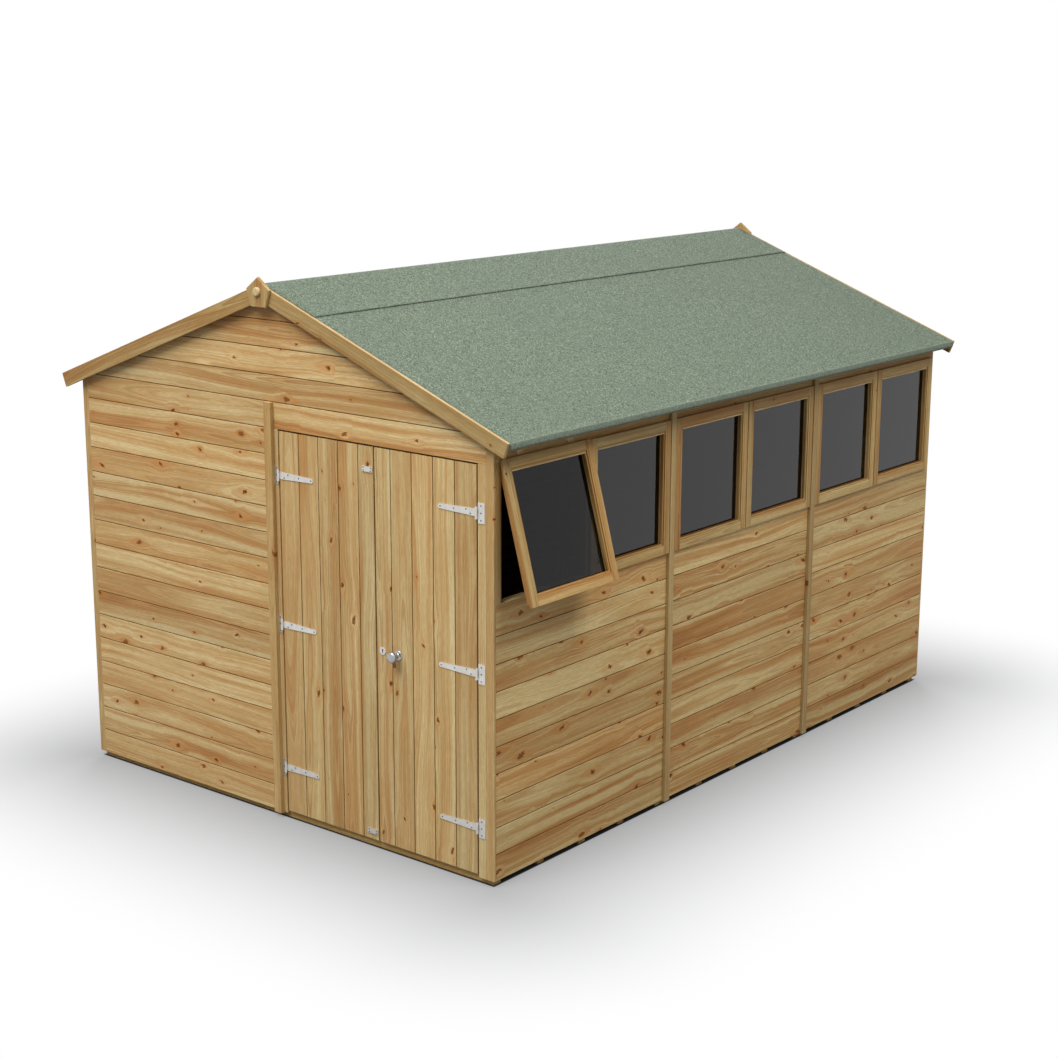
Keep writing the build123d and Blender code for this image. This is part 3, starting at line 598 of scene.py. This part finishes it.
def score(mesh, swing):
    """Cuts the sashes' faces along the edges of the painted shade on the reveal."""
    _, out = directions(swing)
    for level in (REVEAL_SHADE_FRONT + 0.0008, REVEAL_SHADE_FRONT, REVEAL_SHADE_BACK, REVEAL_SHADE_BACK - 0.0006):
        slice_mesh(mesh, Vector((FACE_X, 0, SASH_TOP)) + out * level, out)


def take_arrises(mesh, arris):
    mesh.normal_update()
    edges = [e for e in mesh.edges if e.is_manifold and e.calc_face_angle_signed() > SHARP]
    bmesh.ops.bevel(mesh, geom=edges, offset=arris, segments=1, profile=0.5, affect="EDGES")


def crease(mesh):
    """Adds loops beside the inner corners and returns the lines that those corners follow."""
    mesh.normal_update()
    hollows = [e for e in mesh.edges if e.is_manifold and e.calc_face_angle_signed() < -SHARP]
    lines = [(e.verts[0].co.copy(), e.verts[1].co.copy()) for e in hollows]
    bmesh.ops.bevel(mesh, geom=hollows, offset=CREASE, segments=2, profile=1.0, affect="EDGES")
    return lines


def groove(mesh, swing):
    """Runs a fine groove down the face of each stile, beside the step to the glass, and returns
    a short line up from each point of its bottom."""
    for centre in SASH_CENTRES:
        for hand in (-1, 1):
            middle = centre + hand * (SASH_WIDTH / 2 - GROOVE_INSET)
            for away in (-GROOVE_HALF, 0.0, GROOVE_HALF):
                slice_mesh(mesh, Vector((0, middle + away, 0)), Y)
    _, out = directions(swing)
    lines = []
    for vert in mesh.verts:
        along, _, level = sash_point(vert.co)
        if abs(abs(along) - SASH_WIDTH / 2 + GROOVE_INSET) < NEAR and level > STILE_FACE:
            vert.co -= out * GROOVE_DEEP
            lines.append((vert.co.copy(), vert.co.copy() + Z * 0.0001))
    return lines


def on_line(point, lines):
    for start, end in lines:
        foot, portion = intersect_point_line(point, start, end)
        if (foot - point).length < NEAR and -0.01 <= portion <= 1.01:
            return True
    return False


def points_of(group):
    """A group's points in a fixed order, from the bottom up. Cuts number them differently in
    each run, and the axes that are fitted to them can turn round with their order."""
    return np.array(sorted((tuple(v.co) for v in group), key=lambda p: (p[2], p[0], p[1])))


def dress(node, name, material, slot, seed, body="shed", arris=ARRIS, swing=None):
    """The solids of a timber node with their arrises taken off and grain along their length.
    A sash, which has a swing, also gets painted shade in its inner corners and stile grooves and on
    the reveal round its glass."""
    mesh = solids_of(node)
    take_arrises(mesh, arris)
    if swing is not None:
        lines = crease(mesh)
        if "stiles" in name:
            lines += groove(mesh, swing)
        score(mesh, swing)
    timber = Timber(seed, mesh)
    for group in sorted(islands(mesh), key=lambda g: tuple(points_of(g).mean(axis=0).round(3))):
        points = points_of(group)
        centre = points.mean(axis=0)
        _, turn = np.linalg.eigh(np.cov((points - centre).T))
        out, across, along = turn[:, 0], turn[:, 1], turn[:, 2]
        luck = Vector([timber.draw.random() for _ in range(3)])
        start = timber.draw.random() * LOG
        for vert in group:
            away = np.array(vert.co) - centre
            vert[timber.grain] = Vector((away @ along + start, away @ across, away @ out))
            vert[timber.luck] = luck
            if swing is not None:
                # painted shade: darkest on the reveal round the glass, nearly as dark in the inner
                # corners and stile grooves
                reveal_shaded = in_reveal_shade(vert.co)
                vert[timber.joint] = 1.0 if reveal_shaded else 0.9 if on_line(vert.co, lines) else 0.0
    return timber.finish(name, body, material, slot, [node])


def courses(timber, length, centre, along, out, low, high, rests=True, ends=True):
    """Horizontal boards on a wall from low to high. The lowest board rests on nothing or has a
    joint under it, and the highest ends in the open or goes on into the next piece."""
    edge = low
    while edge < high - SLIVER:
        top = min(edge + COVER, high)
        timber.matched(edge, top, length, (centre, along, Z, out),
                       first=rests and edge == low, last=ends and top >= high - SLIVER)
        edge += COVER


# Floor

bearers = Timber(11)
floor_panel = 2 * (FACE_Y - FLOOR_INSET) / 3
bearer_spacing = (floor_panel - BEARER_WIDE - PANEL_GAP) / 4
for panel in (-1, 0, 1):
    for row in (-2, -1, 0, 1, 2):
        y = panel * floor_panel + row * bearer_spacing
        low = (-FLOOR_X, y - BEARER_WIDE / 2, 0)
        high = (FLOOR_X, y + BEARER_WIDE / 2, BEARER_TALL)
        bearers.bar(low, high, along=X, out=Z)
bearers.finish("bearers", "shed", bearer_pine, "floor_timber", ["floor_bearers"])

floor = Timber(12)
for panel in (-1, 0, 1):
    origin = Vector((0, panel * floor_panel, BEARER_TALL))
    x = -FLOOR_X
    while x < FLOOR_X - SLIVER:
        end = x + min(COVER, FLOOR_X - x)
        floor.matched(-end, -x, floor_panel - PANEL_GAP, (origin, Y, -X, Z),
                      first=end >= FLOOR_X - SLIVER, last=x == -FLOOR_X)
        x += COVER
floor.finish("floor_boards", "shed", frame_pine, "floor_timber", ["floor_deck"])

# Walls

for name, side, low, high, node, seed in (
    ("left_wall_boards", -1, BASE, WALL_TOP, "left_wall_cladding", 21),
    ("right_wall_boards", 1, BASE, SILL, "right_wall_cladding", 22),
):
    wall = Timber(seed)
    for y in PANEL_CENTRES:
        centre = Vector((side * SKIN_X, y, 0))
        courses(wall, PANEL - PANEL_GAP, centre, Y * side, X * side, low, high)
    wall.finish(name, "shed", side_pine, "cladding", [node])

opening_high = SASH_TOP - SASH_LIP
head = Timber(23)
for y in PANEL_CENTRES:
    for low, high in ((opening_high, GABLE), (GABLE, WALL_TOP)):
        head.matched(low, high, PANEL - PANEL_GAP, (Vector((SKIN_X, y, 0)), Y, Z, X),
                     first=low == opening_high, last=high == WALL_TOP)
head.finish("window_head", "shed", sash_pine, "cladding", ["window_head_boards"])

gable_inner = FACE_X - CORNER
front_joint = 0.004
front = Timber(24)
for left, right, low in (
    (-gable_inner, front_joint - PANEL_GAP / 2, BASE),
    (front_joint + PANEL_GAP / 2, gable_inner, DOOR_HEAD),
):
    centre = Vector(((left + right) / 2, -SKIN_Y, 0))
    courses(front, right - left, centre, X, -Y, low, GABLE, ends=False)
front.finish("front_wall_boards", "shed", cladding_pine, "cladding", ["front_wall_cladding"])

back = Timber(25)
half_panel = gable_inner - PANEL_GAP / 2
for hand in (-1, 1):
    centre = Vector((hand * (gable_inner - half_panel / 2), SKIN_Y, 0))
    courses(back, half_panel, centre, -X, Y, BASE, GABLE, ends=False)
back.finish("back_wall_boards", "shed", cladding_pine, "cladding", ["back_wall_cladding"])

for name, along, out, y, node, seed in (
    ("front_gable_boards", X, -Y, -SKIN_Y, "front_gable_cladding", 26),
    ("back_gable_boards", -X, Y, SKIN_Y, "back_gable_cladding", 27),
):
    gable = Timber(seed)
    courses(gable, 2 * gable_inner, Vector((0, y, 0)), along, out, GABLE, GABLE + 5 * COVER,
            rests=False)
    peak = Vector((0, y, roof_under(0) - SEAT))
    for hand in (-1, 1):
        gable.cut(peak, Vector((hand * math.sin(SLOPE), 0, math.cos(SLOPE))))
    gable.finish(name, "shed", cladding_pine, "cladding", [node])

for node, name, material, slot, seed in (
    ("side_wall_rails", "side_rails", frame_pine, "framing", 31),
    ("side_wall_studs", "side_studs", frame_pine, "framing", 32),
    ("end_wall_rails", "end_rails", frame_pine, "framing", 33),
    ("end_wall_studs", "end_studs", frame_pine, "framing", 34),
    ("gable_rafters", "rafters", frame_pine, "framing", 35),
    ("roof_purlins", "purlins", frame_pine, "framing", 36),
    ("eaves_battens", "eaves_rails", frame_pine, "framing", 37),
    ("window_sills", "sills", sash_pine, "joinery", 38),
    ("window_posts", "posts", sash_pine, "joinery", 39),
    ("corner_trims", "corner_strips", corner_pine, "trim", 45),
    ("bargeboards", "verge_boards", barge_pine, "trim", 46),
):
    dress(node, name, material, slot, seed)

# the side walls' strips are darker than the front's
strips = dress("cover_strips", "joint_strips", trim_pine, "trim", 44)
strips.data.materials.append(side_strip_pine)
for polygon in strips.data.polygons:
    polygon.material_index = int(abs(polygon.center.x) > FACE_X - 0.0005)

for node, name, swing, seed in (
    ("sash_stiles", "closed_stiles", 0.0, 40),
    ("sash_rails", "closed_rails", 0.0, 41),
    ("open_sash_stiles", "propped_stiles", SASH_SWING, 42),
    ("open_sash_rails", "propped_rails", SASH_SWING, 43),
):
    dress(node, name, sash_pine, "joinery", seed, arris=0.0008, swing=swing)

# a thin bead hangs under each top rail, in front of the glass; its pale colour is a painted highlight
# along that edge
beads = Timber(49)
bead_half = SASH_WIDTH / 2 - SASH_BORDER - 0.0002
bead_section = (
    (0.0003, 0.0055), (-0.0036, 0.0055), (-0.0036, 0.0122), (-0.0030, 0.0128), (0.0003, 0.0128),
)
for y in SASH_CENTRES:
    up, out = directions(swing_at(y))
    axes = (Vector((FACE_X, y, SASH_TOP)) - up * SASH_BORDER, Y, up, out)
    beads.board([[(at, b, c) for b, c in bead_section] for at in (-bead_half, bead_half)], axes)
beads.finish("glazing_beads", "shed", pale_pine, "joinery")

# finials: five-sided plates, each with a round button of paler end grain
plates = Timber(47)
buttons = Timber(48)
finial_top = RIDGE + 0.0289
outline = ((0.0, 0.0), (0.0675, -0.050), (0.043, -0.123), (-0.043, -0.123), (-0.0675, -0.050))
middle = Vector((0.0, -0.0565))
button_drop = 0.059
button_line = (
    (0.0190, 0.0139), (0.0190, 0.0190), (0.0181, 0.0225), (0.0160, 0.0248), (0.0122, 0.0259),
)
for end in (-1, 1):
    axes = (Vector((0, end * BARGE_Y, finial_top)), Z, X * -end, Y * end)
    rings = []
    for out, shrink in ((0.0, 1.0), (0.012, 1.0), (0.014, 0.965)):
        corners = [middle + (Vector(c) - middle) * shrink for c in outline]
        rings.append([(c.y, c.x, out) for c in corners])
    plates.board(rings, axes)
    rings = []
    for radius, out in button_line:
        turns = [2 * math.pi * k / 32 for k in range(32)]
        rings.append([(radius * math.cos(t) - button_drop, radius * math.sin(t), out) for t in turns])
    buttons.board(rings, axes)
plates.finish("finial_plates", "shed", barge_pine, "trim", ["finials"])
buttons.finish("finial_buttons", "shed", pale_pine, "trim", ["finials"])

# Roof

slope_length = (EAVES_X - FELT) / math.cos(SLOPE)
for hand, name, node, seed in ((-1, "roof_boarding_left", "roof_boards_left", 51),
                               (1, "roof_boarding_right", "roof_boards_right", 52)):
    boarding = Timber(seed)
    down = Vector((hand * math.cos(SLOPE), 0, -math.sin(SLOPE)))
    up = Vector((hand * math.sin(SLOPE), 0, math.cos(SLOPE)))
    across = up.cross(down)
    middle = Vector((0, 0, roof_under(0))) + down * slope_length / 2
    edge = -VERGE_Y
    while edge < VERGE_Y - SLIVER:
        top = min(edge + COVER, VERGE_Y)
        boarding.matched(edge, top, slope_length, (middle, down, across, up),
                         first=edge == -VERGE_Y, last=top == VERGE_Y)
        edge += COVER
    boarding.cut(Vector((0, 0, 0)), -X * hand)
    boarding.cut(X * hand * (EAVES_X - FELT), X * hand)
    boarding.finish(name, "shed", frame_pine, "roof_boarding", [node])


def felt_sheet(name, line, node, sag):
    """Felt laid over a line of (x, z, lift) points and run along the roof, slightly uneven.
    Where a point has a lift, the ripples raise it by up to that much."""
    mesh = bmesh.new()
    rows = []
    steps = 178
    for i in range(steps + 1):
        y = -VERGE_Y + 2 * VERGE_Y * i / steps
        row = []
        for x, z, lift in line:
            swell = noise.noise(Vector((x * 2.6, y * 2.6, 3.0))) * sag
            ripple = max(0.0, noise.noise(Vector((x * 4.0, y * 9.0, 8.0))) + 0.15)
            row.append(mesh.verts.new((x, y, z - FELT * 0.25 + swell * 0.3 + lift * ripple)))
        rows.append(row)
    for first, second in zip(rows, rows[1:]):
        for a, b, c, d in zip(first, first[1:], second[1:], second):
            mesh.faces.new((a, b, c, d))
    bmesh.ops.recalc_face_normals(mesh, faces=mesh.faces)
    if sum(f.normal.z for f in mesh.faces) < 0:
        bmesh.ops.reverse_faces(mesh, faces=mesh.faces)
    piece = make_piece(mesh, name, "shed", "mineral_felt", [node], felt_finish, bitumen_finish,
                       smooth=True)
    thicken = piece.modifiers.new("thickness", "SOLIDIFY")
    thicken.thickness = FELT * 0.7
    thicken.offset = -1
    thicken.material_offset_rim = 1


# each slope's felt runs straight to the bend, round it and down over the eaves
bend_x = EAVES_X - 0.006
bend_radius = 0.0055
turned_down = 0.029
for hand, name, node in ((-1, "felt_left", "roof_felt_left"), (1, "felt_right", "roof_felt_right")):
    line = []
    for i in range(57):
        x = bend_x * i / 56
        line.append((hand * x, roof_top(x), 0.0))
    for i in range(1, 5):
        turn = i / 4 * (math.pi / 2 - SLOPE)
        x = bend_x + bend_radius * math.sin(turn)
        line.append((hand * x, roof_top(bend_x) - bend_radius * (1 - math.cos(turn)), 0.0))
    for i in range(1, 4):
        z = roof_top(EAVES_X) - turned_down * i / 3 + 0.0005
        line.append((hand * (EAVES_X - 0.0005), z, 0.0))
    felt_sheet(name, line, node, 0.0016)

# the ridge strip lies on both, and its edges lift here and there
strip_half = 0.300
edge_lift = 0.0022
line = []
for i in range(-24, 25):
    x = strip_half * i / 24
    near_edge = max(0.0, abs(i) - 21) / 3
    pressed = 0.0006 if near_edge == 0 else 0.0
    line.append((x, roof_top(x) + FELT / math.cos(SLOPE) - pressed, edge_lift * near_edge))
felt_sheet("felt_ridge_strip", line, "ridge_felt", 0.0012)

# Doors

leaf_low = 0.038
leaf_high = DOOR_HEAD - 0.006
board_wide = 0.113
narrow_board = 0.086
for hinge_x, hand, body, seed in ((0.052, 1, "door_left", 61), (1.134, -1, "door_right", 62)):
    leaf = Timber(seed)
    origin = Vector((hinge_x, -SKIN_Y, (leaf_low + leaf_high) / 2))
    edge = 0.0
    for wide in (board_wide, board_wide, board_wide, board_wide, narrow_board):
        low, high = sorted((hand * edge, hand * (edge + wide)))
        # the boards run from the hinges, and a board's first edge is its left one
        ends = [edge == 0, wide == narrow_board][::hand]
        leaf.matched(low, high, leaf_high - leaf_low, (origin, -Z, X, -Y),
                     first=ends[0], last=ends[1])
        edge += wide
    leaf.finish(body + "_leaf", body, door_pine, "door_timber", [body + "_boards"])
    dress(body + "_ledges", body + "_rails", door_pine, "door_timber", seed + 2, body=body)
    dress(body + "_braces", body + "_diagonals", door_pine, "door_timber", seed + 4, body=body)


def turned(name, line, centres, material, body, segments, replaces=()):
    """Round ironwork: a line of (radius, height) points turned at each centre, facing the front."""
    mesh = bmesh.new()
    axis = -Y
    side = axis.orthogonal().normalized()
    front = axis.cross(side)
    for centre in centres:
        rings = []
        for radius, height in line:
            ring = []
            for k in range(segments):
                turn = 2 * math.pi * k / segments
                around = side * math.cos(turn) + front * math.sin(turn)
                ring.append(mesh.verts.new(centre + axis * height + around * radius))
            rings.append(ring)
        for first, second in zip(rings, rings[1:]):
            for k in range(segments):
                j = (k + 1) % segments
                mesh.faces.new((first[k], first[j], second[j], second[k]))
        mesh.faces.new(rings[0])
        mesh.faces.new(rings[-1][::-1])
    bmesh.ops.recalc_face_normals(mesh, faces=mesh.faces)
    make_piece(mesh, name, body, "zinc_plated", replaces, material, smooth=True)


knob_line = (
    (0.0218, 0.0), (0.0220, 0.0015), (0.0212, 0.0032), (0.0180, 0.0048), (0.0110, 0.0060),
    (0.0085, 0.0085), (0.0078, 0.0150), (0.0080, 0.0205), (0.0105, 0.0245), (0.0160, 0.0280),
    (0.0210, 0.0318), (0.0236, 0.0365), (0.0240, 0.0410), (0.0228, 0.0455), (0.0196, 0.0490),
    (0.0140, 0.0511), (0.0070, 0.0519), (0.0010, 0.0520),
)
turned("knob_and_rose", knob_line, [Vector((0.714, -FACE_Y, 0.873))], chrome_finish, "door_right", 48,
       ["door_knob"])


def screws(name, body, places, thick):
    """Domed screw heads at (x, z) places on ironwork of a thickness."""
    head = ((0.0034, -0.0006), (0.0034, 0.0003), (0.0029, 0.0010), (0.0016, 0.0014), (0.0003, 0.0015))
    centres = [Vector((x, -FACE_Y - thick, z)) for x, z in places]
    turned(name, head, centres, screw_steel_and_shade, body, 14)


strap_screws = ((0.188, 0.0), (0.117, 0.001), (0.055, 0.007), (0.032, -0.008))
for pin_x, hand, body, plate_screws in (
    (0.049, 1, "door_left", 0.014), (1.137, -1, "door_right", 0.021)
):
    places = [(pin_x + hand * a, z + b) for z in HINGE_HEIGHTS for a, b in strap_screws]
    screws(body + "_strap_screws", body, places, 0.003)
    x = pin_x - hand * plate_screws
    places = [(x, z + b) for z in HINGE_HEIGHTS for b in (-0.029, 0.0, 0.029)]
    screws(body + "_plate_screws", "shed", places, 0.0025)
bolt_x = 0.5585
bolt_heights = (0.073, 1.624)
places = [(bolt_x + a, z + b) for z in bolt_heights for a in (-0.020, 0.020) for b in (-0.006, 0.006)]
screws("bolt_plate_screws", "door_left", places, 0.004)


def small_bars(name, boxes, material, body):
    """Small blocks of ironwork, each given by two opposite corners."""
    blocks = Timber(71)
    for low, high in boxes:
        blocks.bar(low, high, along=Z, arris=0.0003, out=Y)
    blocks.finish(name, body, material, "zinc_plated")


# the keyhole's opening, black as painted shade: a round top and a slot under it
keyhole_x = 0.630
keyhole_y = -FACE_Y - 0.003
keyhole_line = ((0.0038, -0.0004), (0.0038, 0.0003), (0.0004, 0.0003))
turned("keyhole_top", keyhole_line, [Vector((keyhole_x, keyhole_y, 0.8802))], keyhole_shade_finish,
       "door_right", 18)
slot_low = (keyhole_x - 0.0022, keyhole_y - 0.0003, 0.8675)
slot_high = (keyhole_x + 0.0022, keyhole_y + 0.0004, 0.8800)
small_bars("keyhole_slot", [(slot_low, slot_high)], keyhole_shade_finish, "door_right")

# the open sash hangs from two small hinges: a leaf on the wall over each barrel
hinge_half = 0.020
leaves, barrels = [], []
for y in (-1.600, -1.285):
    for parts, proud, low, high in ((leaves, 0.0014, 0.012, 0.025), (barrels, 0.0042, 0.0075, 0.0118)):
        parts.append(((FACE_X, y - hinge_half, SASH_TOP + low),
                      (FACE_X + proud, y + hinge_half, SASH_TOP + high)))
small_bars("window_hinges", leaves + barrels, brass_finish, "shed")

for node, finish in (
    ("hinge_plates", zinc_finish), ("hinge_straps_left", zinc_finish),
    ("hinge_straps_right", zinc_finish), ("door_left_bolt_plates", zinc_finish),
    ("keyhole_escutcheon", zinc_finish), ("window_stay", stay_glint_finish),
    ("window_panes", closed_glass), ("open_sash_pane", open_glass),
):
    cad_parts[node].data.materials.clear()
    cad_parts[node].data.materials.append(finish)

# Camera, light, floor

# the camera is fitted to the photo's straight lines
camera_data = bpy.data.cameras.new("camera")
camera_data.sensor_width = 36.0
camera_data.lens = 66.844
camera = bpy.data.objects.new("camera", camera_data)
bpy.context.scene.collection.objects.link(camera)
place = (5.92067, -7.34891, 3.23443)
yaw, pitch, roll = (math.radians(a) for a in (-38.9914, 13.5199, -0.1715))
forward = Vector((math.sin(yaw) * math.cos(pitch), math.cos(yaw) * math.cos(pitch), -math.sin(pitch)))
level = Vector((math.cos(yaw), -math.sin(yaw), 0))
down = forward.cross(level)
right = level * math.cos(roll) + down * math.sin(roll)
below = down * math.cos(roll) - level * math.sin(roll)
facing = Matrix((right, -below, -forward)).transposed().to_4x4()
camera.matrix_world = Matrix.Translation(place) @ facing
bpy.context.scene.camera = camera

# The floor is black under the shed, as painted shade, and dark grey round it, where it takes the
# shed's soft shadow. A painted soft shadow fades out with distance from the walls, and further out the
# floor turns white, but only for what sees it, so that it lights nothing.
under_x = 1.213
under_y = 1.750
studio = Finish("studio_floor", Roughness=0.9)
_, (x, y, _) = studio.place()
x, y = x.math("ABSOLUTE"), y.math("ABSOLUTE")
painted_shade_beneath = (under_x - x).step(-0.003, 0.003) * (under_y - y).step(-0.003, 0.003)
studio.link("Base Color", studio.mix(painted_shade_beneath, (0.160, 0.164, 0.172), (0.012, 0.012, 0.012)))
away_x = (x - FACE_X).math("MAXIMUM", 0.0)
away_y = (y - FACE_Y).math("MAXIMUM", 0.0)
# painted soft shadow: white mixes in with distance from the walls
painted_shadow_fade = ((away_x * away_x + away_y * away_y) ** 0.5).step(-0.7, 1.26) * (1.0 - painted_shade_beneath)
plain = Value(studio, studio.surface.outputs[0])
glow = studio.node("Emission", {}, {"Color": WHITE, "Strength": 1.0})
studio.output(studio.node("MixShader", {}, {0: painted_shadow_fade * studio.seen(), 1: plain, 2: glow}),
              "Material Output")
ground = bmesh.new()
bmesh.ops.create_circle(ground, cap_ends=True, segments=96, radius=30.0)
ground_mesh = bpy.data.meshes.new("studio_floor")
ground.to_mesh(ground_mesh)
ground.free()
ground_mesh.materials.append(studio.material)
ground_piece = bpy.data.objects.new("studio_floor", ground_mesh)
bpy.context.scene.collection.objects.link(ground_piece)

# the room is white to look at and sends a weaker light
world = bpy.data.worlds.new("studio")
world.use_nodes = True
bpy.context.scene.world = world
room = Graph(world.node_tree)
background = world.node_tree.nodes["Background"]
background.inputs["Color"].default_value = WHITE
background.inputs["Strength"].default_value = 0.30
weak = Value(room, background.outputs[0])
white = room.node("Background", {}, {"Color": WHITE, "Strength": 1.0})
room.output(room.node("MixShader", {}, {0: room.seen(), 1: weak, 2: white}), "World Output")


def lamp(name, place, target, size, watts):
    """A square soft lamp of a size in metres that points from its place to a target."""
    light = bpy.data.lights.new(name, "AREA")
    light.size = size
    light.energy = watts
    thing = bpy.data.objects.new(name, light)
    thing.location = place
    thing.visible_camera = False
    thing.rotation_euler = (Vector(target) - Vector(place)).to_track_quat("-Z", "Y").to_euler()
    bpy.context.scene.collection.objects.link(thing)


lamp("front_lamp", (0.4, -7.4, 10.9), (0, -1, 1), 7.5, 1530)
lamp("side_lamp", (6.5, 0.0, 9.5), (0, 0, 1), 5.0, 630)
lamp("back_lamp", (-7.0, 9.0, 6.0), (0, 0, 1), 6.0, 1150)

bpy.context.scene.view_settings.view_transform = "Standard"
